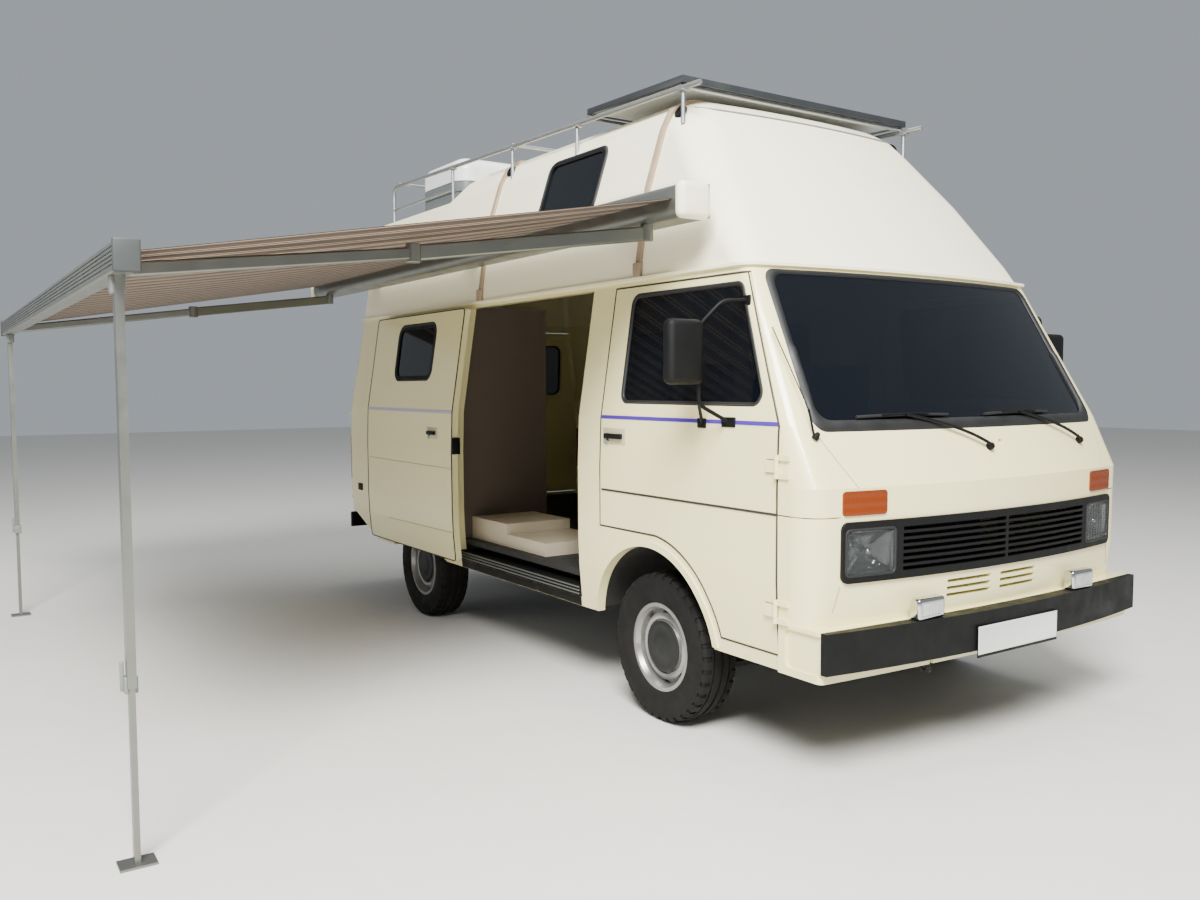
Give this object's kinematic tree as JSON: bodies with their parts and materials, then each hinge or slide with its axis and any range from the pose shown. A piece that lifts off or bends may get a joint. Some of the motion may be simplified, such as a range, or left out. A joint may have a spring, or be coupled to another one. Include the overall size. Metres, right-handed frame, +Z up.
{
  "type": "camper van",
  "caption": "High-roofed camper van with hinged cab and tail doors, an open sliding side door, roof rack, solar panel, roof locker and a side awning standing out on its legs.",
  "frame": {"origin": "on the ground, under the middle of the box of the whole van with its awning out", "axes": "+Z up, +Y from the nose towards the tail, +X across towards the driver's side (left)"},
  "size_m": [4.48, 5.2818, 2.99],
  "materials": {
    "body_paint": "semi-gloss cream enamel",
    "roof_gel": "gel-coated glass fibre",
    "clear_glass": "tinted safety glass",
    "black_plastic": "moulded, satin black",
    "black_enamel": "satin black enamel",
    "underbody": "underbody coating",
    "tyre": "matt rubber",
    "rim_silver": "silver wheel enamel",
    "lamp_clear": "clear lamp glass",
    "lamp_amber": "amber lens",
    "lamp_red": "red lens",
    "bare_aluminium": "extruded, anodised",
    "awning_cloth": "woven striped awning cloth",
    "seat_cloth": "woven seat cloth",
    "cast_iron": "as cast",
    "axle_steel": "dull steel",
    "rack_tube": "grey enamel",
    "bar_tan": "tan enamel",
    "solar_glass": "solar cells under glass",
    "locker_shell": "moulded shell",
    "board": "faced board",
    "floor_black": "coated sheet"
  },
  "bodies": {
    "van": {"front_panel": "body_paint", "windscreen": "clear_glass", "grille": "black_plastic", "front_lamps": "lamp_clear", "indicators": "lamp_amber", "wipers": "black_enamel", "bumpers": "black_plastic", "front_fenders": "body_paint", "side_right": "body_paint", "side_left": "body_paint", "side_windows": "clear_glass", "sliding_door": "body_paint", "rear_frame": "body_paint", "tail_lamps": "lamp_red", "roof_shell": "roof_gel", "roof_rack": "rack_tube", "support_bars": "bar_tan", "solar_panel": "solar_glass", "roof_locker": "locker_shell", "awning_cassette": "bare_aluminium", "awning_arms": "bare_aluminium", "awning_rail": "bare_aluminium", "awning_legs": "bare_aluminium", "awning_fabric": "awning_cloth", "chassis_frame": "underbody", "cross_members": "underbody", "front_axle": "axle_steel", "rear_axle": "axle_steel", "leaf_springs": "axle_steel", "engine_block": "cast_iron", "exhaust": "axle_steel", "fuel_tank": "black_enamel", "floor_pan": "floor_black", "wheel_houses": "underbody", "cab_boxes": "floor_black", "dashboard": "black_plastic", "steering_wheel": "black_plastic", "seats": "seat_cloth", "cabinets": "board"},
    "door_right": {"front_door_right": "body_paint", "door_glass_right": "clear_glass", "mirror_right": "black_plastic"},
    "door_left": {"front_door_left": "body_paint", "door_glass_left": "clear_glass", "mirror_left": "black_plastic"},
    "tail_door_right": {"rear_door_right": "body_paint", "rear_glass_right": "clear_glass"},
    "tail_door_left": {"rear_door_left": "body_paint", "rear_glass_left": "clear_glass"},
    "steer_right": {"knuckle_right": "axle_steel"},
    "steer_left": {"knuckle_left": "axle_steel"},
    "wheel_front_left": {"tyre_front_left": "tyre", "rim_front_left": "rim_silver"},
    "wheel_front_right": {"tyre_front_right": "tyre", "rim_front_right": "rim_silver"},
    "wheel_rear_left": {"tyre_rear_left": "tyre", "rim_rear_left": "rim_silver"},
    "wheel_rear_right": {"tyre_rear_right": "tyre", "rim_rear_right": "rim_silver"}
  },
  "joints": [
    {"name": "door_right_swing", "type": "hinge", "parent": "van", "child": "door_right", "pos_m": [-0.077, -2.311, 0.9], "axis": [0, 0, 1], "range_deg": [0, 70]},
    {"name": "door_left_swing", "type": "hinge", "parent": "van", "child": "door_left", "pos_m": [1.957, -2.311, 0.9], "axis": [0, 0, -1], "range_deg": [0, 70]},
    {"name": "tail_door_right_swing", "type": "hinge", "parent": "van", "child": "tail_door_right", "pos_m": [-0.01, 2.205, 1], "axis": [0, 0, 1], "range_deg": [0, 180]},
    {"name": "tail_door_left_swing", "type": "hinge", "parent": "van", "child": "tail_door_left", "pos_m": [1.89, 2.205, 1], "axis": [0, 0, -1], "range_deg": [0, 180]},
    {"name": "steer_left_turn", "type": "hinge", "parent": "van", "child": "steer_left", "pos_m": [1.725, -1.529, 0.33], "axis": [0, 0, 1], "range_deg": [-32, 32]},
    {"name": "steer_right_turn", "type": "hinge", "parent": "van", "child": "steer_right", "pos_m": [0.155, -1.529, 0.33], "axis": [0, 0, 1], "range_deg": [-32, 32]},
    {"name": "wheel_front_left_roll", "type": "hinge", "parent": "steer_left", "child": "wheel_front_left", "pos_m": [1.822, -1.529, 0.33], "axis": [1, 0, 0], "continuous": true},
    {"name": "wheel_front_right_roll", "type": "hinge", "parent": "steer_right", "child": "wheel_front_right", "pos_m": [0.058, -1.529, 0.33], "axis": [1, 0, 0], "continuous": true},
    {"name": "wheel_rear_left_roll", "type": "hinge", "parent": "van", "child": "wheel_rear_left", "pos_m": [1.822, 0.989, 0.33], "axis": [1, 0, 0], "continuous": true},
    {"name": "wheel_rear_right_roll", "type": "hinge", "parent": "van", "child": "wheel_rear_right", "pos_m": [0.058, 0.989, 0.33], "axis": [1, 0, 0], "continuous": true}
  ],
  "couplings": [
    {"joint": "steer_right_turn", "follows": "steer_left_turn", "ratio": 1}
  ]
}
